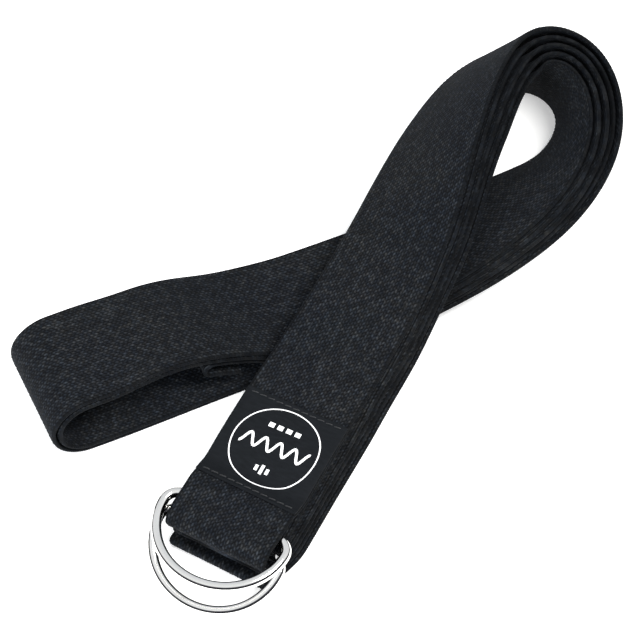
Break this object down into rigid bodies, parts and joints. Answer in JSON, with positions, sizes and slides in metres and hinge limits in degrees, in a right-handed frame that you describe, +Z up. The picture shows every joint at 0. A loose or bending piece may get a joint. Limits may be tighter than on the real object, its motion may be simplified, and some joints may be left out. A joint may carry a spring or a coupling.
{
  "type": "stretching strap",
  "caption": "Webbing stretching strap with D-rings sewn into one end, folded to and fro into a flat bundle that is laid in a loop crossing itself, with a sewn label patch.",
  "frame": {"origin": "the table's surface, under the middle of the folded strap's bounding box", "axes": "+Z up from the table, +Y away from the D-rings towards the loop, +X from the folded end towards the loop"},
  "size_m": [0.2082, 0.2256, 0.044],
  "materials": {
    "webbing": "coarse black cotton weave",
    "label": "smooth black satin",
    "thread": "black sewing thread",
    "nickel": "polished nickel plate"
  },
  "bodies": {
    "strap": {"webbing_layer_1_ring_arm": "webbing", "webbing_layer_1_loop": "webbing", "webbing_layer_1_fold_arm": "webbing", "webbing_layer_2_ring_arm": "webbing", "webbing_layer_2_loop": "webbing", "webbing_layer_2_fold_arm": "webbing", "webbing_layer_3_ring_arm": "webbing", "webbing_layer_3_loop": "webbing", "webbing_layer_3_fold_arm": "webbing", "webbing_layer_4_ring_arm": "webbing", "webbing_layer_4_loop": "webbing", "webbing_layer_4_fold_arm": "webbing", "webbing_layer_5_ring_arm": "webbing", "webbing_layer_5_loop": "webbing", "webbing_layer_5_fold_arm": "webbing", "webbing_outer_fold": "webbing", "webbing_inner_fold": "webbing", "webbing_upper_ring_end_fold": "webbing", "webbing_lower_ring_end_fold": "webbing", "webbing_ring_turn": "webbing", "webbing_sewn_back_end": "webbing", "webbing_tail_hem": "webbing", "label_patch": "label", "label_seam_ring_side": "thread", "label_seam_far_side": "thread", "tail_hem_seam": "thread"},
    "upper_ring": {"d_ring_upper": "nickel"},
    "lower_ring": {"d_ring_lower": "nickel"}
  },
  "joints": [
    {"name": "upper_ring_hinge", "type": "hinge", "parent": "strap", "child": "upper_ring", "pos_m": [-0.02901, -0.08316, 0.01674], "axis": [-0.8703, 0.4925, -0.0007], "range_deg": [0, 138]},
    {"name": "lower_ring_hinge", "type": "hinge", "parent": "strap", "child": "lower_ring", "pos_m": [-0.03111, -0.08726, 0.01338], "axis": [-0.8696, 0.4938, -0.0001], "range_deg": [0, 138]}
  ],
  "couplings": [
    {"joint": "lower_ring_hinge", "follows": "upper_ring_hinge", "ratio": 1}
  ]
}
